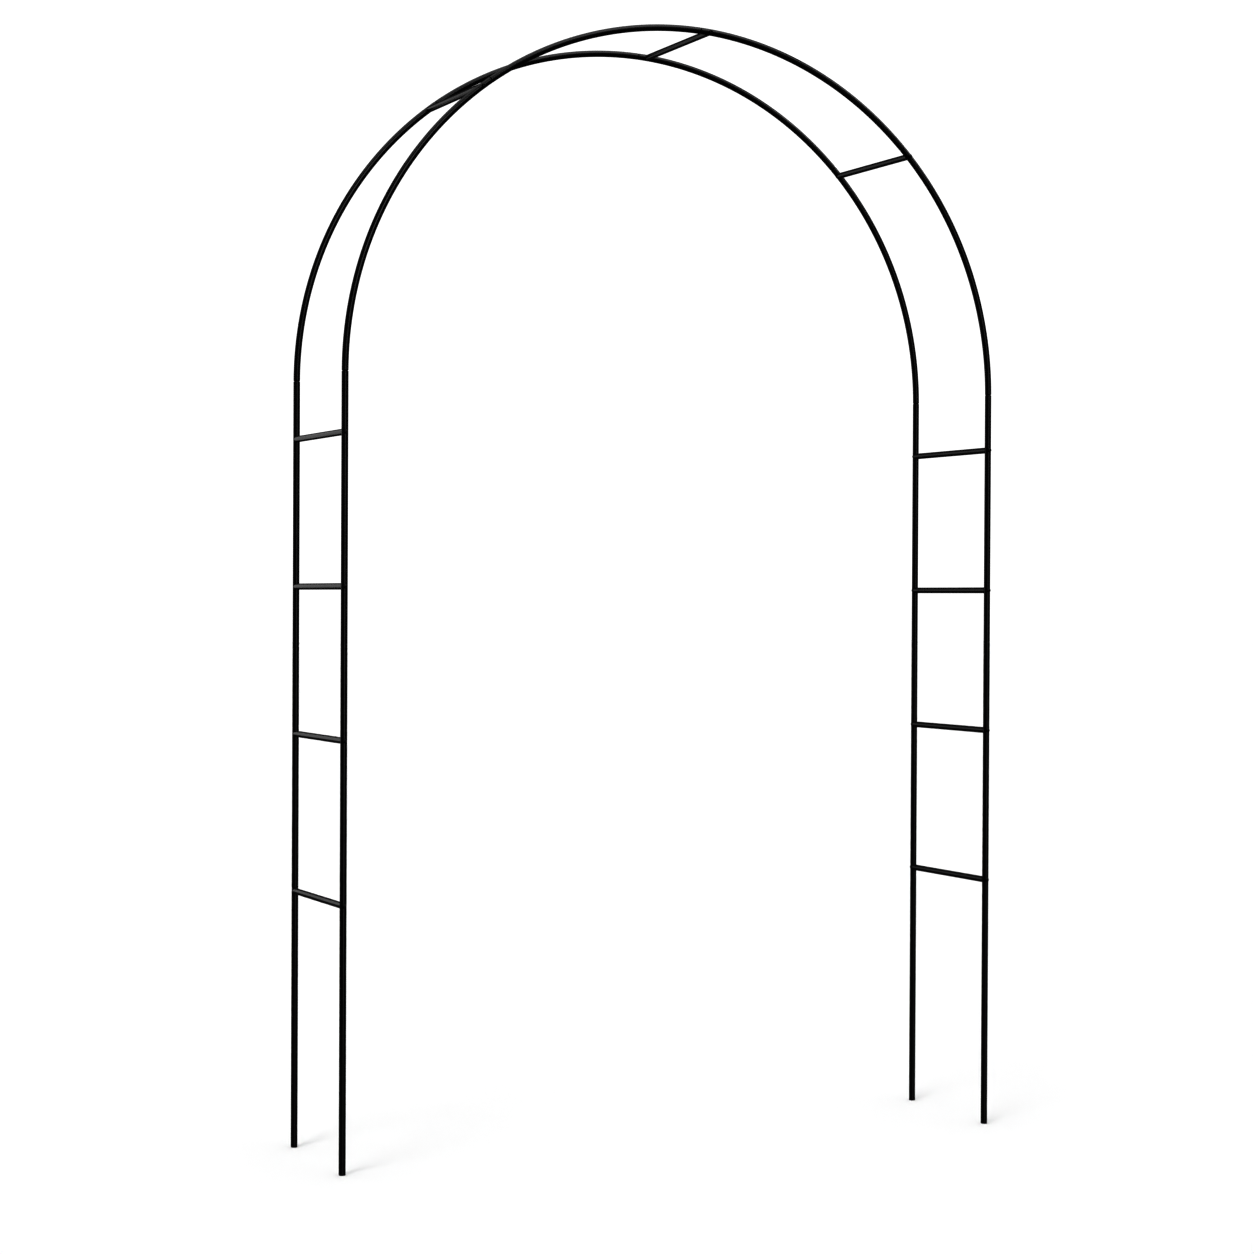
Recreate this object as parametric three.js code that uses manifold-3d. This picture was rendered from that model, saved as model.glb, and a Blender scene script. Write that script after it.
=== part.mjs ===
// A garden trellis arch: two round-topped steel hoops joined by eleven rungs.
// Millimetres. +X runs across the walkway, +Y through it to the rear, +Z up; the ground is z = 0.
import * as THREE from "three";
import { mergeVertices } from "three/addons/utils/BufferGeometryUtils.js";
import Module from "manifold-3d";

const wasm = await Module();
wasm.setup();

// Driving dimensions.
const overallWidth = 1400;
const overallHeight = 2200;
const hoopSpacing = 298; // from the front hoop's centreline to the rear hoop's
const tubeRadius = 6.35; // half-inch steel tube
const tubeWall = 1;
const rungRadius = 6;
const rungHeights = [503, 811, 1099, 1387]; // on each pair of legs, from the ground up
const firstArchRung = THREE.MathUtils.degToRad(43.5); // measured up from the right springing
const archRungPitch = THREE.MathUtils.degToRad(42);
const clearance = 0.3; // left between pieces that touch

// The joints: each tube's swaged end pushes into the open end of the tube below it.
const slidingPlay = 0.35; // radial, inside a tube's bore
const spigotWall = 0.9;
const spigotLength = 40;
const shoulderLength = 3;

// The M4 pan-head screws that hold the rungs, and the threaded plugs that close the rung ends.
const screwRadius = 2;
const screwLength = 25;
const headRadius = 4;
const headTopRadius = 2.4;
const headHeight = 2.4;
const headEdgeHeight = 1;
const recessWidth = 1;
const recessSpan = 4.2;
const recessDepth = 1.3;
const plugLength = 18;

// The foot caps.
const capHeight = 3;
const capBevel = 1;
const capStemLength = 13;

// How finely round shapes are faceted.
const tubeSides = 12;
const screwSides = 10;
const archStep = 54; // length of one straight facet along the arch

const archRadius = overallWidth / 2 - tubeRadius;
const springHeight = overallHeight - overallWidth / 2;
const archLength = Math.PI * archRadius;
const tubeBore = tubeRadius - tubeWall;
const spigotRadius = tubeBore - slidingPlay;
const spigotBore = spigotRadius - spigotWall;
const archRungAngles = [0, 1, 2].map((i) => firstArchRung + i * archRungPitch);
const hoopSides = { front: -1, rear: 1 };

const powderCoat = { color: 0x141414, roughness: 0.45, metalness: 0.1 };
const blackSteel = { color: 0x1d1d1f, roughness: 0.4, metalness: 0.7 };
const blackPlastic = { color: 0x0e0e0e, roughness: 0.8, metalness: 0 };

const arch = new THREE.Group();
arch.name = "metal_trellis_arch";

function addMesh(name, geometry, material) {
  const mesh = new THREE.Mesh(geometry, new THREE.MeshStandardMaterial(material));
  mesh.name = name;
  arch.add(mesh);
}

// Solids: three.js geometry into manifold-3d for the cuts, and back.

function toSolid(geometry) {
  const bare = geometry.clone();
  bare.deleteAttribute("normal");
  bare.deleteAttribute("uv");
  const merged = mergeVertices(bare, 1e-4);
  return new wasm.Manifold(
    new wasm.Mesh({
      numProp: 3,
      vertProperties: merged.attributes.position.array,
      triVerts: new Uint32Array(merged.index.array),
    }),
  );
}

function toGeometry(solid) {
  const { vertProperties, triVerts } = solid.getMesh();
  const geometry = new THREE.BufferGeometry();
  geometry.setAttribute("position", new THREE.BufferAttribute(vertProperties, 3));
  geometry.setIndex(new THREE.BufferAttribute(triVerts, 1));
  geometry.computeVertexNormals();
  return geometry;
}

function cut(geometry, cutters) {
  let solid = toSolid(geometry);
  for (const cutter of cutters) {
    solid = solid.subtract(toSolid(cutter));
  }
  return toGeometry(solid);
}

function lathe(outline, sides) {
  return new THREE.LatheGeometry(outline.map(([r, along]) => new THREE.Vector2(r, along)), sides);
}

// The hoop centreline. A place on it is its distance from the right springing:
// below 0 it is down the right leg, past archLength down the left leg.

function centreline(along) {
  if (along < 0) {
    return { x: archRadius, z: springHeight + along, angle: 0 };
  }
  if (along > archLength) {
    return { x: -archRadius, z: springHeight - (along - archLength), angle: Math.PI };
  }
  const angle = along / archRadius;
  return { x: archRadius * Math.cos(angle), z: springHeight + archRadius * Math.sin(angle), angle };
}

function alongAtHeight(height, side) {
  return side === "right" ? height - springHeight : archLength + springHeight - height;
}

function alongAtAngle(angle) {
  return angle * archRadius;
}

// The rungs: where each one crosses from hoop to hoop.
const rungPlaces = [];
for (const side of ["left", "right"]) {
  rungHeights.forEach((height, i) => {
    rungPlaces.push({ name: `${side}_${i + 1}`, along: alongAtHeight(height, side) });
  });
}
["arch_right", "arch_top", "arch_left"].forEach((name, i) => {
  rungPlaces.push({ name, along: alongAtAngle(archRungAngles[i]) });
});

// The hoop tubes. Every open end stops `clearance` short of its joint,
// and every swaged end reaches `spigotLength` past it into the neighbour.
// The arch joints are centred on the arch rungs, so a rung screw locks each of them.

const halfOverlap = spigotLength / 2;
const joints = {
  rightFoot: alongAtHeight(capHeight + clearance, "right"),
  rightSpring: 0,
  rightRung: alongAtAngle(archRungAngles[0]) + halfOverlap,
  topRung: alongAtAngle(archRungAngles[1]) + halfOverlap,
  leftRung: alongAtAngle(archRungAngles[2]) - halfOverlap,
  leftSpring: archLength,
  leftFoot: alongAtHeight(capHeight + clearance, "left"),
};

const hoopTubes = [
  { name: "leg_right", from: joints.rightFoot, to: joints.rightSpring, ends: ["plain", "open"] },
  { name: "shoulder_right", from: joints.rightSpring, to: joints.rightRung, ends: ["swaged", "open"] },
  { name: "crown_right", from: joints.rightRung, to: joints.topRung, ends: ["swaged", "open"] },
  { name: "crown_left", from: joints.topRung, to: joints.leftRung, ends: ["swaged", "swaged"] },
  { name: "shoulder_left", from: joints.leftRung, to: joints.leftSpring, ends: ["open", "swaged"] },
  { name: "leg_left", from: joints.leftSpring, to: joints.leftFoot, ends: ["open", "plain"] },
];

// Outer and inner outline of one end, from its outermost point inwards; `inward` is +1 or -1.
function endOutline(kind, at, inward) {
  if (kind === "plain") {
    return { outer: [[tubeRadius, at]], inner: [[tubeBore, at]] };
  }
  if (kind === "open") {
    const edge = at + inward * clearance;
    const spigotTip = at + inward * spigotLength;
    return {
      outer: [[tubeRadius, edge], [tubeRadius, spigotTip]],
      inner: [[tubeBore, edge], [tubeBore, spigotTip]],
    };
  }
  const tip = at - inward * spigotLength;
  const shoulderEnd = at + inward * shoulderLength;
  const wall = inward * tubeWall;
  return {
    outer: [[spigotRadius, tip], [spigotRadius, at], [tubeRadius, shoulderEnd]],
    inner: [[spigotBore, tip], [spigotBore, at + wall], [tubeBore, shoulderEnd + wall]],
  };
}

// Places between the two ends where a tube on the arch is faceted; a leg needs none.
function facetPlaces(from, to) {
  const onArch = Math.min(to, archLength) - Math.max(from, 0);
  const count = Math.max(1, Math.ceil(onArch / archStep));
  return Array.from({ length: count - 1 }, (_, i) => from + ((i + 1) * (to - from)) / count);
}

function hoopTube({ from, to, ends }) {
  const start = endOutline(ends[0], from, 1);
  const end = endOutline(ends[1], to, -1);
  const places = facetPlaces(start.outer.at(-1)[1], end.outer.at(-1)[1]);
  const outer = [...start.outer, ...places.map((at) => [tubeRadius, at]), ...end.outer.toReversed()];
  const inner = [...end.inner, ...places.map((at) => [tubeBore, at]).reverse(), ...start.inner.toReversed()];
  return bendOntoHoop(lathe([...outer, ...inner, outer[0]], tubeSides));
}

// Lays a straight tube, turned about Y, along the hoop's centreline.
function bendOntoHoop(geometry) {
  const position = geometry.attributes.position;
  for (let i = 0; i < position.count; i++) {
    const { x, z, angle } = centreline(position.getY(i));
    const outward = position.getX(i);
    position.setXYZ(i, x + outward * Math.cos(angle), -position.getZ(i), z + outward * Math.sin(angle));
  }
  return geometry;
}

function screwHole(along) {
  const { x, z } = centreline(along);
  const length = 2 * tubeRadius + 2;
  return new THREE.CylinderGeometry(
    screwRadius + clearance, screwRadius + clearance, length, screwSides,
  ).translate(x, 0, z);
}

function addHoop(hoop, sign) {
  for (const tube of hoopTubes) {
    const drilled = rungPlaces.filter(
      ({ along }) => along > tube.from - spigotLength && along < tube.to + spigotLength,
    );
    const geometry = cut(hoopTube(tube), drilled.map(({ along }) => screwHole(along)));
    addMesh(`${tube.name}_${hoop}`, geometry.translate(0, (sign * hoopSpacing) / 2, 0), powderCoat);
  }
}

// A rung: a tube with a threaded plug in each end, both ends scooped to sit round the hoop tubes.
function rung(along) {
  const { x, z, angle } = centreline(along);
  const end = hoopSpacing / 2;
  const plugEnd = end - tubeRadius - plugLength;
  const hole = screwRadius + clearance;
  const bore = rungRadius - tubeWall;
  const outline = [
    [rungRadius, -end], [rungRadius, end], [hole, end], [hole, plugEnd],
    [bore, plugEnd], [bore, -plugEnd], [hole, -plugEnd], [hole, -end], [rungRadius, -end],
  ];
  const scoopRadius = tubeRadius + clearance;
  const scoops = [-end, end].map((y) =>
    new THREE.CylinderGeometry(scoopRadius, scoopRadius, 4 * tubeRadius, tubeSides)
      .rotateX(Math.PI / 2)
      .rotateY(-angle)
      .translate(0, y, 0),
  );
  return cut(lathe(outline, tubeSides), scoops).translate(x, 0, z);
}

// A screw along +Y, its head underside at the origin and its head towards -Y.
function screw() {
  const outline = [
    [0, -headHeight], [headTopRadius, -headHeight], [headRadius, -headEdgeHeight], [headRadius, 0],
    [screwRadius, 0], [screwRadius, screwLength], [0, screwLength],
  ];
  const recess = [[recessSpan, recessWidth], [recessWidth, recessSpan]].map(([width, height]) =>
    new THREE.BoxGeometry(width, 2 * recessDepth, height).translate(0, -headHeight, 0),
  );
  return cut(lathe(outline, screwSides), recess);
}

function addScrews(name, along) {
  const { x, z } = centreline(along);
  const seat = hoopSpacing / 2 + tubeRadius + clearance;
  for (const [hoop, sign] of Object.entries(hoopSides)) {
    const turned = sign < 0 ? screw() : screw().rotateZ(Math.PI);
    addMesh(`screw_${name}_${hoop}`, turned.translate(x, sign * seat, z), blackSteel);
  }
}

// A cap: a flat pad the size of the tube, with a stem pushed up inside the leg.
function footCap() {
  const stemRadius = tubeBore - slidingPlay;
  const outline = [
    [0, 0], [tubeRadius - capBevel, 0], [tubeRadius, capBevel], [tubeRadius, capHeight],
    [stemRadius, capHeight], [stemRadius, capHeight + capStemLength], [0, capHeight + capStemLength],
  ];
  return lathe(outline, tubeSides).rotateX(Math.PI / 2);
}

function addFootCaps() {
  for (const [hoop, sign] of Object.entries(hoopSides)) {
    for (const [side, x] of Object.entries({ left: -archRadius, right: archRadius })) {
      const cap = footCap().translate(x, (sign * hoopSpacing) / 2, 0);
      addMesh(`foot_cap_${side}_${hoop}`, cap, blackPlastic);
    }
  }
}

for (const [hoop, sign] of Object.entries(hoopSides)) {
  addHoop(hoop, sign);
}
for (const { name, along } of rungPlaces) {
  addMesh(`rung_${name}`, rung(along), powderCoat);
  addScrews(name, along);
}
addFootCaps();

export default arch;
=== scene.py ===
"""A garden trellis arch of black powder-coated tube, on a pale studio floor.

Metres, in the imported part's frame: +X across the walkway, +Y through it to the rear, +Z up.
Angles written as numbers are in degrees, and worked-out ones in radians.
"""

import math

import bmesh
import bpy
from mathutils import Euler, Matrix, Vector


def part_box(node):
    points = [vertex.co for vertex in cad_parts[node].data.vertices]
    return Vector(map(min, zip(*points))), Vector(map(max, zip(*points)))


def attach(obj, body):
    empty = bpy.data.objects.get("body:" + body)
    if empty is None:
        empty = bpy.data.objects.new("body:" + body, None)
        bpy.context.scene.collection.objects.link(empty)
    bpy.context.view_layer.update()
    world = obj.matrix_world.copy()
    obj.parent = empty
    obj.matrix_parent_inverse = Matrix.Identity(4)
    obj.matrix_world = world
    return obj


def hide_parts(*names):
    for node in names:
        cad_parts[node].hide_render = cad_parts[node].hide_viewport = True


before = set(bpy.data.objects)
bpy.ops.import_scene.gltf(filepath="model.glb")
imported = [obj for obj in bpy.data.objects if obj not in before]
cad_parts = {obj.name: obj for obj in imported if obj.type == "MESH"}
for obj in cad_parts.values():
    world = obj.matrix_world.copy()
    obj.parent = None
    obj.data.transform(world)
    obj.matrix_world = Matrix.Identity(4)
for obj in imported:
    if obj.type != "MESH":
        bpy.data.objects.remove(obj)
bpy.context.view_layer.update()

MM = 0.001

# How finely the pieces are made.
TUBE_SIDES = 40
SCREW_SIDES = 48
HOLE_SIDES = 24
CAP_SIDES = 48
ARCH_STEP = 16 * MM
FILLET_STEPS = 4
SHOULDER_STEPS = 8
SCOOP_STEPS = 4
HEAD_STEPS = 6
FOOT_STEPS = 6

# Edges bent by more than SHARP_ANGLE are shaded sharp. Corners wider than FLAT_CORNER get no fillet,
# and a fillet takes at most FILLET_SHARE of the side that it starts on.
SHARP_ANGLE = 40
FLAT_CORNER = 150
FILLET_SHARE = 0.45

# Details of the tubes that the frame's boxes don't give. Rings of vertices at HOLE_MARGIN to each
# side of a screw keep its hole from changing the rest of the tube.
TUBE_WALL = 1.0 * MM
TUBE_EDGE = 0.25 * MM
SLIDING_PLAY = 0.35 * MM
CLEARANCE = 0.3 * MM
SPIGOT_LENGTH = 40 * MM
SHOULDER_LENGTH = 2 * MM
PLUG_LENGTH = 18 * MM
HOLE_MARGIN = 6 * MM

# Details of the screws. Each recess ring has its share of the full cross and its depth in the head.
SCREW_RADIUS = 2.0 * MM
SCREW_TIP_RADIUS = 0.8 * SCREW_RADIUS
SCREW_TIP_LENGTH = 0.5 * MM
HEAD_HEIGHT = 2.4 * MM
HEAD_CHAMFER = 0.3 * MM
HEAD_SIDE = 0.35 * HEAD_HEIGHT
RECESS_SPAN = 4.2 * MM
RECESS_WIDTH = 1.1 * MM
RECESS_DEPTH = 1.4 * MM
RECESS_RINGS = ((1.0, 0.0), (0.97, 0.12 * MM), (0.7, RECESS_DEPTH))
HEAD_FLAT_RADIUS = 0.56 * RECESS_SPAN

# Details of the foot caps.
CAP_HEIGHT = 3 * MM
CAP_EDGE = 1 * MM
CAP_RIM = 0.2 * MM
STEM_TAPER_LENGTH = 1 * MM
STEM_TAPER = 0.6 * MM

# How far wear reaches from an edge, and how far in the rings lie that hold it there.
WEAR_REACH = 1.6 * MM
WEAR_RINGS = (1.5 * MM, 3 * MM, 6 * MM)
SCREW_WEAR_REACH = 0.15 * MM

# The studio. The tubes see less of the world than the camera does, so they stay dark.
FLOOR_SIZE = 120
FLOOR_WHITE = 0.9
WORLD_TO_CAMERA = 1.1
WORLD_TO_OTHERS = 0.06
DISPLAY_GAMMA = 0.6

# The camera stands in front of the arch, to the left of it, at chest height.
CAMERA_PLACE = (-2.391, -5.259, 1.080)
CAMERA_TURN_RIGHT = 23.99
CAMERA_TILT_UP = -0.58
CAMERA_ROLL = 0.27
SENSOR_WIDTH_MM = 36
FOCAL_LENGTH_MM = 82.6


# ---------------------------------------------------------------- the frame's own measures


def middle(node):
    low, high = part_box(node)
    return (low + high) / 2


leg_low, leg_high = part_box("leg_right_front")
rung_low, rung_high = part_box("rung_right_1")

tube_radius = (leg_high.x - leg_low.x) / 2
tube_bore = tube_radius - TUBE_WALL
spigot_radius = tube_bore - SLIDING_PLAY
arch_radius = (leg_high.x + leg_low.x) / 2
spring_height = leg_high.z + CLEARANCE
arch_length = math.pi * arch_radius
rung_radius = (rung_high.z - rung_low.z) / 2
hole_radius = SCREW_RADIUS + CLEARANCE
hoop_y = {hoop: middle(f"leg_right_{hoop}").y for hoop in ("front", "rear")}

RUNGS = [f"{side}_{i}" for side in ("left", "right") for i in (1, 2, 3, 4)]
RUNGS += ["arch_right", "arch_top", "arch_left"]


def centreline(along):
    """A point on a hoop, as (x, z, angle); along is measured from the right springing."""
    if along < 0:
        return arch_radius, spring_height + along, 0.0
    if along > arch_length:
        return -arch_radius, spring_height - (along - arch_length), math.pi
    angle = along / arch_radius
    return arch_radius * math.cos(angle), spring_height + arch_radius * math.sin(angle), angle


def straightened(point, y):
    """A point of the hoop at y as (outward, across, along), as if the hoop were straight."""
    up = point.z - spring_height
    if up > 0:
        outward = math.hypot(point.x, up) - arch_radius
        along = math.atan2(up, point.x) * arch_radius
    else:
        outward = abs(point.x) - arch_radius
        along = up if point.x > 0 else arch_length - up
    return outward, point.y - y, along


def along_at(node):
    """How far round the hoops a node is."""
    _, _, along = straightened(middle(node), 0)
    return along


# ---------------------------------------------------------------- mesh making


def add_object(name, data):
    made = bpy.data.objects.new(name, data)
    bpy.context.scene.collection.objects.link(made)
    return made


def fillet(outline, radius):
    """The closed outline with each corner rounded by a short curve."""
    rounded = []
    for i, corner in enumerate(outline):
        corner = Vector(corner)
        before = Vector(outline[i - 1])
        after = Vector(outline[(i + 1) % len(outline)])
        back, forth = before - corner, after - corner
        if back.angle(forth) > math.radians(FLAT_CORNER):
            rounded.append(tuple(corner))
            continue
        start = corner + back.normalized() * min(radius, back.length * FILLET_SHARE)
        end = corner + forth.normalized() * min(radius, forth.length * FILLET_SHARE)
        for step in range(FILLET_STEPS + 1):
            t = step / FILLET_STEPS
            rounded.append(tuple(start * (1 - t) ** 2 + corner * 2 * t * (1 - t) + end * t * t))
    return rounded


def circles(outline, sides):
    """A ring of points about the axis for each (radius, along) point of the outline."""
    turns = [2 * math.pi * i / sides for i in range(sides)]
    return [(r * math.cos(a), r * math.sin(a), along) for r, along in outline for a in turns]


def skin(rings, sides, closed):
    """Faces from each ring to the next; a closed skin goes on to its first ring again."""
    faces = []
    for ring in range(rings if closed else rings - 1):
        here, there = ring * sides, (ring + 1) % rings * sides
        for i in range(sides):
            j = (i + 1) % sides
            faces.append((here + i, here + j, there + j, there + i))
    return faces


def sweep(name, outline, place, edges):
    """A tube whose wall is a closed outline turned about its axis, each point laid by place()."""
    faces = skin(len(outline), TUBE_SIDES, closed=True)
    return finish_mesh(name, circles(outline, TUBE_SIDES), faces, place, edges)


def capped(name, laid, sides, start, end, place, edges, reach=WEAR_REACH):
    """Rings of points joined up, with a point on the axis at start and at end to close them."""
    faces = skin(len(laid) // sides, sides, closed=False)
    last_ring, first, last = len(laid) - sides, len(laid), len(laid) + 1
    for i in range(sides):
        j = (i + 1) % sides
        faces.append((first, j, i))
        faces.append((last, last_ring + i, last_ring + j))
    return finish_mesh(name, laid + [(0, 0, start), (0, 0, end)], faces, place, edges, reach)


def finish_mesh(name, laid, faces, place, edges, reach=WEAR_REACH):
    """An object whose vertices are the laid points, each put where place() says."""
    mesh = bpy.data.meshes.new(name)
    mesh.from_pydata([place(*point) for point in laid], [], faces)
    mark(mesh, laid, edges, reach)
    return add_object(name, mesh)


def mark(mesh, laid, edges, reach=WEAR_REACH):
    """Keeps where each vertex lay before place() as `laid`, and how near an edge it is as `wear`."""
    straight = mesh.attributes.get("laid") or mesh.attributes.new("laid", "FLOAT_VECTOR", "POINT")
    straight.data.foreach_set("vector", [value for point in laid for value in point])
    wear = mesh.attributes.get("wear") or mesh.attributes.new("wear", "FLOAT", "POINT")
    wear.data.foreach_set("value", [edge_wear(point[2], edges, reach) for point in laid])


def edge_wear(along, edges, reach):
    """1 at the nearest of the edges, fading over the reach."""
    return max(math.exp(-abs(along - edge) / reach) for edge in edges)


def stand_for(piece, node, material):
    """The piece, smoothly shaded between its sharp edges, takes the CAD node's place."""
    piece.data.shade_smooth()
    piece.data.set_sharp_from_angle(angle=math.radians(SHARP_ANGLE))
    piece.modifiers.new("flat_faces_win", "WEIGHTED_NORMAL").keep_sharp = True
    piece.data.materials.append(material)
    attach(piece, "root")
    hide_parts(node)


# ---------------------------------------------------------------- shader nodes


def connect(tree, value, socket):
    """Links the socket to another, or sets it to a plain value."""
    if isinstance(value, bpy.types.NodeSocket):
        tree.links.new(value, socket)
    else:
        socket.default_value = value


def add(tree, kind, inputs, **settings):
    """A node with its settings and inputs."""
    made = tree.nodes.new(kind)
    for key, value in settings.items():
        setattr(made, key, value)
    for socket, value in inputs.items():
        connect(tree, value, made.inputs[socket])
    return made


def noise(tree, where, scale, detail, roughness=0.5):
    """Noise with about scale lumps to the metre."""
    inputs = {"Vector": where, "Scale": scale, "Detail": detail, "Roughness": roughness}
    return add(tree, "ShaderNodeTexNoise", inputs).outputs["Fac"]


def ramp(tree, value, span, to=(0.0, 1.0)):
    """The value with its span stretched to another, and held inside that."""
    inputs = {
        "Value": value, "From Min": span[0], "From Max": span[1], "To Min": to[0], "To Max": to[1],
    }
    return add(tree, "ShaderNodeMapRange", inputs).outputs["Result"]


def times(tree, a, b):
    return add(tree, "ShaderNodeMath", {0: a, 1: b}, operation="MULTIPLY").outputs[0]


def plus(tree, a, b):
    return add(tree, "ShaderNodeMath", {0: a, 1: b}, operation="ADD").outputs[0]


def scaled(tree, vector, scales):
    inputs = {0: vector, 1: scales}
    return add(tree, "ShaderNodeVectorMath", inputs, operation="MULTIPLY").outputs["Vector"]


def mix_colour(tree, share, a, b):
    """Colour a, turning to colour b as the share goes from 0 to 1."""
    made = tree.nodes.new("ShaderNodeMix")
    made.data_type = "RGBA"
    colour_a, colour_b = [s for s in made.inputs if s.type == "RGBA"]
    share_in = [s for s in made.inputs if s.type == "VALUE"][0]
    for socket, value in ((share_in, share), (colour_a, a), (colour_b, b)):
        connect(tree, value, socket)
    return [s for s in made.outputs if s.type == "RGBA"][0]


def bump(tree, height, strength, distance, under=None):
    """A bumped normal, on top of the one under it if there is one."""
    inputs = {"Height": height, "Strength": strength, "Distance": distance}
    if under:
        inputs["Normal"] = under
    return add(tree, "ShaderNodeBump", inputs).outputs["Normal"]


def upward(tree):
    """How much a surface faces the sky, from 0 to 1."""
    normal = add(tree, "ShaderNodeNewGeometry", {}).outputs["Normal"]
    height = add(tree, "ShaderNodeSeparateXYZ", {"Vector": normal}).outputs["Z"]
    return ramp(tree, height, SKYWARD)


def new_material(name):
    """A material, with its shader and the three inputs that its textures are made from."""
    material = bpy.data.materials.new(name)
    material.use_nodes = True
    tree = material.node_tree
    shader = tree.nodes["Principled BSDF"]
    where = add(tree, "ShaderNodeTexCoord", {}).outputs["Object"]
    laid = add(tree, "ShaderNodeAttribute", {}, attribute_name="laid").outputs["Vector"]
    wear = add(tree, "ShaderNodeAttribute", {}, attribute_name="wear").outputs["Fac"]
    return material, tree, shader, where, laid, wear


# ---------------------------------------------------------------- materials


def grey(value):
    return (value, value, value, 1)


# Colours, in linear light.
COAT_BLACK = (0.007, 0.007, 0.0075, 1)
COAT_PALER = grey(0.0115)
COAT_CHIP = grey(0.11)
# Partly dust and partly a painted sheen, which stands in for the sky's reflection on the tops.
DUST_AND_SHEEN = (0.055, 0.052, 0.047, 1)
STEEL_BLACK = grey(0.014)
STEEL_PALER = grey(0.028)
STEEL_RUBBED = grey(0.16)
PLASTIC_BLACK = grey(0.008)
PLASTIC_PALER = grey(0.014)
PLASTIC_SCUFF = (0.1, 0.092, 0.08, 1)

# The span that noise values mostly stay in, and the middle of it, which gives more contrast.
NOISE_SPAN = (0.3, 0.7)
NOISE_MIDDLE = (0.35, 0.65)

# Dust, with a painted sheen, grows over the SKYWARD span of the normal's height: the paler tops are
# partly dust and partly a painted reflection of the sky. It takes up to the share given below of the
# colour, and adds that share of DUST_ROUGHNESS.
SKYWARD = (0.2, 1.0)
DUST_AND_SHEEN_SHARE = 0.35
DUST_ROUGHNESS = 0.5

# Scales for a laid place: drawn lines run along the tube, and turned rings don't change along a screw.
ALONG_TUBE = (1.0, 1.0, 0.01)
ACROSS_ONLY = (1.0, 1.0, 0.0)
TURNED_RING_SPACING = 0.2618 * MM


def powder_coat():
    """Semi-gloss black powder coat: orange peel, faint drawn lines from the tube, dust and a painted
    sheen on tops, chipped rims.
    """
    material, tree, shader, where, laid, wear = new_material("black_powder_coat")
    blotches = noise(tree, where, scale=14, detail=4)
    peel = noise(tree, laid, scale=620, detail=2)
    grain = noise(tree, laid, scale=3400, detail=1)
    drawn = noise(tree, scaled(tree, laid, ALONG_TUBE), scale=900, detail=3)

    coat = mix_colour(tree, ramp(tree, blotches, NOISE_MIDDLE), COAT_BLACK, COAT_PALER)
    # Paler towards the top: dust in patches, and a painted sheen in place of the sky's reflection.
    dust_and_sheen_patches = ramp(tree, noise(tree, where, scale=70, detail=5, roughness=0.7), (0.42, 0.75))
    dust_and_sheen = times(tree, times(tree, upward(tree), dust_and_sheen_patches), DUST_AND_SHEEN_SHARE)
    dusty_and_sheened = mix_colour(tree, dust_and_sheen, coat, DUST_AND_SHEEN)
    flecks = ramp(tree, noise(tree, laid, scale=1500, detail=3), (0.56, 0.62))
    chips = times(tree, flecks, ramp(tree, wear, (0.45, 0.95), to=(0.0, 0.8)))
    connect(tree, mix_colour(tree, chips, dusty_and_sheened, COAT_CHIP), shader.inputs["Base Color"])

    rough = ramp(tree, blotches, NOISE_SPAN, to=(0.16, 0.24))
    rough = plus(tree, rough, ramp(tree, drawn, NOISE_SPAN, to=(-0.03, 0.03)))
    rough = plus(tree, rough, times(tree, dust_and_sheen, DUST_ROUGHNESS))
    rough = plus(tree, rough, ramp(tree, grain, NOISE_SPAN, to=(-0.025, 0.025)))
    connect(tree, rough, shader.inputs["Roughness"])
    waves = bump(tree, peel, strength=0.6, distance=0.15 * MM)
    grainy = bump(tree, grain, strength=0.12, distance=0.02 * MM, under=waves)
    connect(tree, grainy, shader.inputs["Normal"])
    connect(tree, 0.5, shader.inputs["Specular IOR Level"])
    return material


def black_steel():
    """Blackened screw steel: turned rings, with bright metal showing where the driver has rubbed."""
    material, tree, shader, where, laid, wear = new_material("blackened_steel")
    across = scaled(tree, laid, ACROSS_ONLY)
    from_axis = add(tree, "ShaderNodeVectorMath", {0: across}, operation="LENGTH").outputs["Value"]
    turned = times(tree, from_axis, math.tau / TURNED_RING_SPACING)
    rings = add(tree, "ShaderNodeMath", {0: turned}, operation="SINE").outputs[0]
    cloud = noise(tree, where, scale=900, detail=4)

    black = mix_colour(tree, ramp(tree, cloud, NOISE_MIDDLE), STEEL_BLACK, STEEL_PALER)
    scuffs = ramp(tree, noise(tree, laid, scale=1800, detail=5, roughness=0.65), (0.5, 0.7))
    rubbed = times(tree, scuffs, ramp(tree, wear, (0.3, 1.0), to=(0.0, 0.8)))
    connect(tree, mix_colour(tree, rubbed, black, STEEL_RUBBED), shader.inputs["Base Color"])
    connect(tree, 0.75, shader.inputs["Metallic"])
    connect(tree, ramp(tree, cloud, NOISE_SPAN, to=(0.3, 0.44)), shader.inputs["Roughness"])
    grooves = bump(tree, rings, strength=0.18, distance=0.01 * MM)
    clouded = bump(tree, cloud, strength=0.15, distance=0.03 * MM, under=grooves)
    connect(tree, clouded, shader.inputs["Normal"])
    return material


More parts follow.
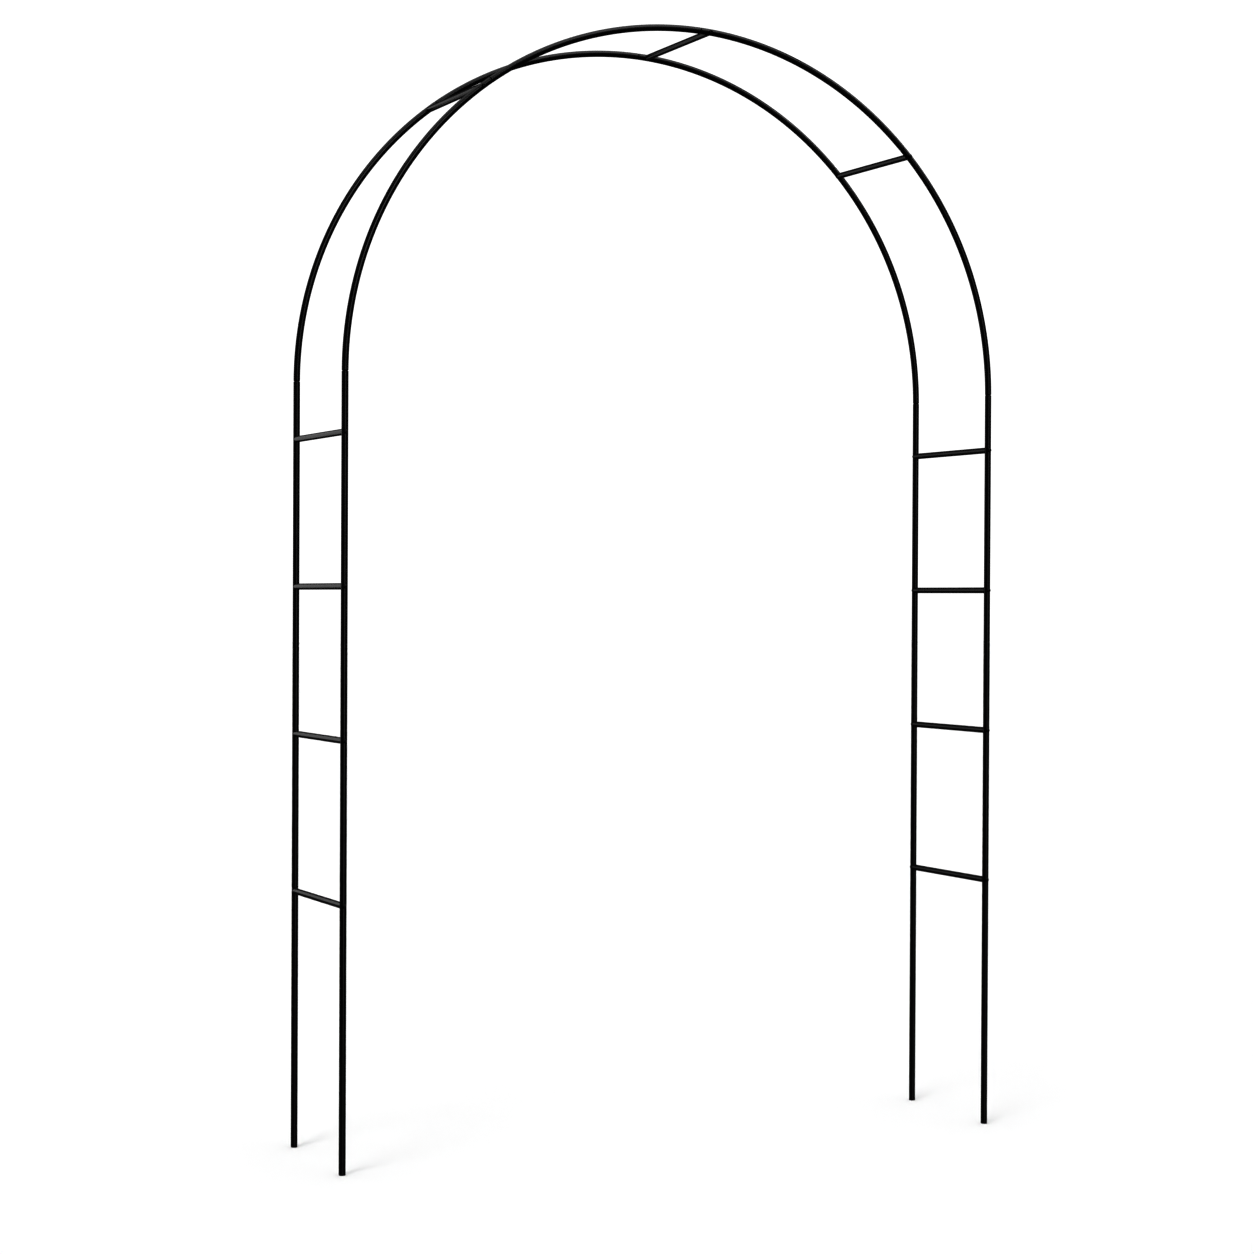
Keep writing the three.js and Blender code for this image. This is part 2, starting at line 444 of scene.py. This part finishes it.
def cap_plastic():
    """Moulded black plastic, finely pitted, with pale scuffs round the foot."""
    material, tree, shader, where, laid, wear = new_material("moulded_black_plastic")
    cloud = noise(tree, where, scale=260, detail=4)
    pits = noise(tree, laid, scale=2300, detail=2)

    black = mix_colour(tree, ramp(tree, cloud, NOISE_MIDDLE), PLASTIC_BLACK, PLASTIC_PALER)
    scuffs = ramp(tree, noise(tree, laid, scale=800, detail=5, roughness=0.7), (0.48, 0.66))
    scuffed = times(tree, scuffs, ramp(tree, wear, (0.3, 1.0), to=(0.0, 0.6)))
    connect(tree, mix_colour(tree, scuffed, black, PLASTIC_SCUFF), shader.inputs["Base Color"])
    connect(tree, ramp(tree, pits, NOISE_SPAN, to=(0.6, 0.8)), shader.inputs["Roughness"])
    connect(tree, bump(tree, pits, strength=0.3, distance=0.03 * MM), shader.inputs["Normal"])
    connect(tree, 0.35, shader.inputs["Specular IOR Level"])
    return material


# ---------------------------------------------------------------- the hoops


def shoulder_curve(at, inward):
    """The S-shaped step from a swaged end up to the full tube."""
    points = []
    for step in range(SHOULDER_STEPS + 1):
        t = step / SHOULDER_STEPS
        rise = (1 - math.cos(math.pi * t)) / 2
        radius = spigot_radius + (tube_radius - spigot_radius) * rise
        points.append((radius, at + inward * SHOULDER_LENGTH * t))
    return points


def end_outline(kind, at, inward):
    """The outer and the inner outline of one tube end, from its outermost point inwards.

    A plain end stands on its foot cap, and a swaged end's spigot slides into the next tube's open end.
    """
    if kind == "plain":
        return [(tube_radius, at)], [(tube_bore, at)]
    if kind == "open":
        edge = at + inward * CLEARANCE
        return [(tube_radius, edge)], [(tube_bore, edge)]
    tip = at - inward * SPIGOT_LENGTH
    inside = at + inward * (SHOULDER_LENGTH + TUBE_WALL)
    outer = [(spigot_radius, tip)] + shoulder_curve(at, inward)
    inner = [(spigot_radius - TUBE_WALL, tip), (spigot_radius - TUBE_WALL, at), (tube_bore, inside)]
    return outer, inner


def arch_rings(start, end):
    """Where a tube on the arch needs rings to follow the curve; a straight leg needs none."""
    on_arch = min(end, arch_length) - max(start, 0.0)
    count = max(1, math.ceil(on_arch / ARCH_STEP))
    return [start + (end - start) * i / count for i in range(1, count)]


def with_rings(outline, rings):
    """The outline with a point added at each of the rings that it passes."""
    denser = []
    for (radius, along), (next_radius, next_along) in zip(outline, outline[1:]):
        denser.append((radius, along))
        passed = [ring for ring in rings if min(along, next_along) < ring < max(along, next_along)]
        for ring in sorted(passed, reverse=next_along < along):
            share = (ring - along) / (next_along - along)
            denser.append((radius + (next_radius - radius) * share, ring))
    return denser + outline[-1:]


def hole_cutter(y, places):
    """Bars that pass through both walls of a hoop tube, one at each of the places."""
    bars = bmesh.new()
    bar_length = 3 * tube_radius
    for along in places:
        x, z, _ = centreline(along)
        through = Matrix.Translation((x, y, z)) @ Matrix.Rotation(math.pi / 2, 4, "X")
        bmesh.ops.create_cone(
            bars, cap_ends=True, segments=HOLE_SIDES, radius1=hole_radius, radius2=hole_radius,
            depth=bar_length, matrix=through,
        )
    mesh = bpy.data.meshes.new("screw_holes")
    bars.to_mesh(mesh)
    bars.free()
    return add_object("screw_holes", mesh)


def drill(piece, y, places):
    """A screw hole through both walls of a hoop tube at each of the places."""
    cutter = hole_cutter(y, places)
    holes = piece.modifiers.new("screw_holes", "BOOLEAN")
    holes.object = cutter
    drilled = piece.evaluated_get(bpy.context.evaluated_depsgraph_get())
    piece.data = bpy.data.meshes.new_from_object(drilled)
    piece.modifiers.remove(holes)
    bpy.data.objects.remove(cutter)


def hoop_tube(name, y, start, end, kinds):
    """One tube of the hoop at y, with an end of the kind given at start and at end."""
    start_outer, start_inner = end_outline(kinds[0], start, 1)
    end_outer, end_inner = end_outline(kinds[1], end, -1)
    screws = [along_at(f"rung_{rung}") for rung in RUNGS]
    screws = [along for along in screws if start_outer[0][1] < along < end_outer[0][1]]

    rings = arch_rings(start_outer[-1][1], end_outer[-1][1])
    rings += [start + reach for reach in WEAR_RINGS] + [end - reach for reach in WEAR_RINGS]
    rings += [along + side * HOLE_MARGIN for along in screws for side in (-1, 1)]
    outer = with_rings(start_outer + end_outer[::-1], rings)
    inner = with_rings(end_inner + start_inner[::-1], rings)

    def place(outward, across, along):
        x, z, angle = centreline(along)
        return x + outward * math.cos(angle), y + across, z + outward * math.sin(angle)

    edges = [at for at, kind in zip((start, end), kinds) if kind != "plain"]
    piece = sweep(name, fillet(outer + inner, TUBE_EDGE), place, edges)
    drill(piece, y, screws)
    mark(piece.data, [straightened(vertex.co, y) for vertex in piece.data.vertices], edges)
    return piece


def make_hoops(material):
    """Two hoops of six tubes, joined at the springings and at the arch rungs."""
    foot = CAP_HEIGHT + CLEARANCE - spring_height
    overlap = SPIGOT_LENGTH / 2
    right = along_at("rung_arch_right") + overlap
    top = along_at("rung_arch_top") + overlap
    left = along_at("rung_arch_left") - overlap
    tubes = [
        ("leg_right", foot, 0.0, ("plain", "open")),
        ("shoulder_right", 0.0, right, ("swaged", "open")),
        ("crown_right", right, top, ("swaged", "open")),
        ("crown_left", top, left, ("swaged", "swaged")),
        ("shoulder_left", left, arch_length, ("open", "swaged")),
        ("leg_left", arch_length, arch_length - foot, ("open", "plain")),
    ]
    for hoop, y in hoop_y.items():
        for tube, start, end, kinds in tubes:
            piece = hoop_tube(f"{tube}_{hoop}_fine", y, start, end, kinds)
            stand_for(piece, f"{tube}_{hoop}", material)


# ---------------------------------------------------------------- the rungs


def rung_outline(half):
    """The wall of a rung: a tube with a drilled plug in each end, before its ends are scooped."""
    bore = rung_radius - TUBE_WALL
    plug = half - tube_radius - PLUG_LENGTH
    steps = [step / SCOOP_STEPS for step in range(SCOOP_STEPS + 1)]
    end_face = [rung_radius + (hole_radius - rung_radius) * t for t in steps]
    outline = [(radius, -half) for radius in end_face]
    outline += [(hole_radius, -plug), (bore, -plug), (bore, plug), (hole_radius, plug)]
    outline += [(radius, half) for radius in reversed(end_face)]
    outline += [(rung_radius, half - reach) for reach in WEAR_RINGS]
    outline += [(rung_radius, reach - half) for reach in reversed(WEAR_RINGS)]
    return fillet(outline, TUBE_EDGE)


def make_rung(rung, material):
    """A tube between the hoops, its ends scooped to fit round them."""
    node = f"rung_{rung}"
    x, z, angle = centreline(along_at(node))
    half = hoop_y["rear"]
    scoop = tube_radius + CLEARANCE

    def place(outward, across, along):
        reach = half - math.sqrt(scoop**2 - outward**2)
        return (
            x + outward * math.cos(angle) - across * math.sin(angle),
            along / half * reach,
            z + outward * math.sin(angle) + across * math.cos(angle),
        )

    piece = sweep(f"{node}_fine", rung_outline(half), place, (-half, half))
    stand_for(piece, node, material)


# ---------------------------------------------------------------- the screws


def cross_radius(turn):
    """The distance from the middle of a cross recess to its wall, in the direction of turn."""
    off_arm = abs((turn + math.pi / 4) % (math.pi / 2) - math.pi / 4)
    to_arm_end = RECESS_SPAN / 2 / math.cos(off_arm)
    to_arm_side = RECESS_WIDTH / 2 / math.sin(off_arm) if off_arm else math.inf
    return min(to_arm_end, to_arm_side)


def recess_rings():
    """The walls of the cross recess, narrowing towards its floor."""
    turns = [2 * math.pi * i / SCREW_SIDES for i in range(SCREW_SIDES)]
    points = []
    for share, depth in RECESS_RINGS:
        for a in turns:
            radius = share * cross_radius(a)
            points.append((radius * math.cos(a), radius * math.sin(a), HEAD_HEIGHT - depth))
    return points


def pan_head(head_radius):
    """The outline of a pan head, from its seat to the flat round the recess."""
    outline = [(head_radius - HEAD_CHAMFER, 0), (head_radius, HEAD_CHAMFER)]
    for step in range(HEAD_STEPS + 1):
        t = step / HEAD_STEPS
        radius = head_radius + (HEAD_FLAT_RADIUS - head_radius) * t
        outline.append((radius, HEAD_SIDE + (HEAD_HEIGHT - HEAD_SIDE) * math.sin(t * math.pi / 2)))
    return outline


def make_screw(node, facing, material):
    """A pan-head screw with a cross recess, seated on its hoop; facing is the way its head points."""
    low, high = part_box(node)
    x, z = (low.x + high.x) / 2, (low.z + high.z) / 2
    seat = (low.y if facing < 0 else high.y) - facing * HEAD_HEIGHT
    length = high.y - low.y - HEAD_HEIGHT

    def place(across, up, along):
        return x - across * facing, seat + along * facing, z + up

    shank = [(SCREW_TIP_RADIUS, -length), (SCREW_RADIUS, SCREW_TIP_LENGTH - length), (SCREW_RADIUS, 0)]
    laid = circles(shank + pan_head((high.z - low.z) / 2), SCREW_SIDES) + recess_rings()
    ends = (-length, HEAD_HEIGHT - RECESS_DEPTH)
    piece = capped(f"{node}_fine", laid, SCREW_SIDES, *ends, place, (HEAD_HEIGHT,), SCREW_WEAR_REACH)
    stand_for(piece, node, material)


# ---------------------------------------------------------------- the foot caps


def cap_outline(top):
    """The outline of a foot cap, from its rounded foot to the tapered end of its stem at top."""
    stem = tube_bore - SLIDING_PLAY
    outline = []
    for step in range(FOOT_STEPS + 1):
        turn = step / FOOT_STEPS * math.pi / 2
        radius = tube_radius - CAP_EDGE + CAP_EDGE * math.sin(turn)
        outline.append((radius, CAP_EDGE - CAP_EDGE * math.cos(turn)))
    return outline + [
        (tube_radius, CAP_HEIGHT - CAP_RIM), (tube_radius - CAP_RIM, CAP_HEIGHT),
        (stem, CAP_HEIGHT), (stem, top - STEM_TAPER_LENGTH), (stem - STEM_TAPER, top),
    ]


def make_cap(node, material):
    """A cap with a rounded foot, its stem inside the leg."""
    low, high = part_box(node)
    x, y = (low.x + high.x) / 2, (low.y + high.y) / 2

    def place(across, along_y, up):
        return x + across, y + along_y, up

    laid = circles(cap_outline(high.z), CAP_SIDES)
    piece = capped(f"{node}_fine", laid, CAP_SIDES, 0.0, high.z, place, (0.0,))
    stand_for(piece, node, material)


# ---------------------------------------------------------------- the studio


def make_floor():
    """White paper, which the tubes don't reflect: their surroundings are dark, as in a lit studio."""
    bpy.ops.mesh.primitive_plane_add(size=FLOOR_SIZE, location=(0, 0, 0))
    floor = bpy.context.object
    floor.name = "floor"
    material = bpy.data.materials.new("pale_floor")
    material.use_nodes = True
    shader = material.node_tree.nodes["Principled BSDF"]
    shader.inputs["Base Color"].default_value = grey(FLOOR_WHITE)
    shader.inputs["Roughness"].default_value = 0.9
    shader.inputs["Specular IOR Level"].default_value = 0.0
    floor.data.materials.append(material)
    floor.visible_glossy = False
    floor.visible_diffuse = False


def make_sun(name, strength, spread, elevation, azimuth):
    """Soft light from the given side; azimuth 0 comes from -Y and 90 from +X."""
    data = bpy.data.lights.new(name, "SUN")
    data.energy = strength
    data.angle = math.radians(spread)
    sun = add_object(name, data)
    sun.rotation_euler = Euler((math.radians(90 - elevation), 0, math.radians(azimuth)))
    return sun


def make_panel(name, power, size, place, aim):
    """A soft rectangular light at place, turned to aim."""
    data = bpy.data.lights.new(name, "AREA")
    data.shape = "RECTANGLE"
    data.size, data.size_y = size
    data.energy = power
    panel = add_object(name, data)
    panel.location = place
    panel.rotation_euler = (Vector(aim) - Vector(place)).to_track_quat("-Z", "Y").to_euler()
    panel.visible_camera = False
    return panel


def make_lights():
    """The floor's lights make its shadows; the highlights show only as gloss on the tubes."""
    key = make_sun("key", strength=1.0, spread=20, elevation=46, azimuth=-49)
    fill = make_sun("fill", strength=0.72, spread=80, elevation=90, azimuth=0)
    for light in (key, fill):
        light.visible_glossy = False
    make_sun("ceiling", strength=1.98, spread=80, elevation=90, azimuth=0)
    highlights = [
        make_sun("front_low", strength=0.3, spread=28, elevation=0, azimuth=4),
        make_sun("front_high", strength=0.5, spread=24, elevation=22, azimuth=0),
        make_sun("crown", strength=1.0, spread=44, elevation=45, azimuth=35),
        make_panel("rear_left", power=19, size=(2.2, 2.8), place=(-1.9, 3.2, 1.7), aim=(-0.7, 0, 1.0)),
        make_panel("right", power=30, size=(1.4, 1.4), place=(3.3, -1.0, 4.0), aim=(0.4, 0, 2.0)),
    ]
    for light in highlights:
        light.visible_diffuse = False


def make_world():
    """White to the camera, and dim to everything else."""
    world = bpy.data.worlds.new("studio")
    bpy.context.scene.world = world
    world.use_nodes = True
    tree = world.node_tree
    seen = add(tree, "ShaderNodeLightPath", {}).outputs["Is Camera Ray"]
    background = tree.nodes["Background"]
    background.inputs["Color"].default_value = grey(1.0)
    strength = ramp(tree, seen, (0.0, 1.0), to=(WORLD_TO_OTHERS, WORLD_TO_CAMERA))
    connect(tree, strength, background.inputs["Strength"])


def make_camera():
    data = bpy.data.cameras.new("camera")
    data.sensor_width = SENSOR_WIDTH_MM
    data.lens = FOCAL_LENGTH_MM
    camera = add_object("camera", data)
    camera.location = CAMERA_PLACE
    heading = Euler((math.radians(90 + CAMERA_TILT_UP), 0, math.radians(-CAMERA_TURN_RIGHT)))
    roll = Euler((0, 0, math.radians(CAMERA_ROLL)))
    camera.rotation_euler = (heading.to_matrix() @ roll.to_matrix()).to_euler()
    bpy.context.scene.camera = camera


def main():
    coat, steel, plastic = powder_coat(), black_steel(), cap_plastic()
    make_hoops(coat)
    for rung in RUNGS:
        make_rung(rung, coat)
        for hoop, facing in (("front", -1), ("rear", 1)):
            make_screw(f"screw_{rung}_{hoop}", facing, steel)
    for side in ("left", "right"):
        for hoop in ("front", "rear"):
            make_cap(f"foot_cap_{side}_{hoop}", plastic)
    make_floor()
    make_world()
    make_lights()
    make_camera()
    bpy.context.scene.view_settings.view_transform = "Standard"
    bpy.context.scene.view_settings.gamma = DISPLAY_GAMMA


main()
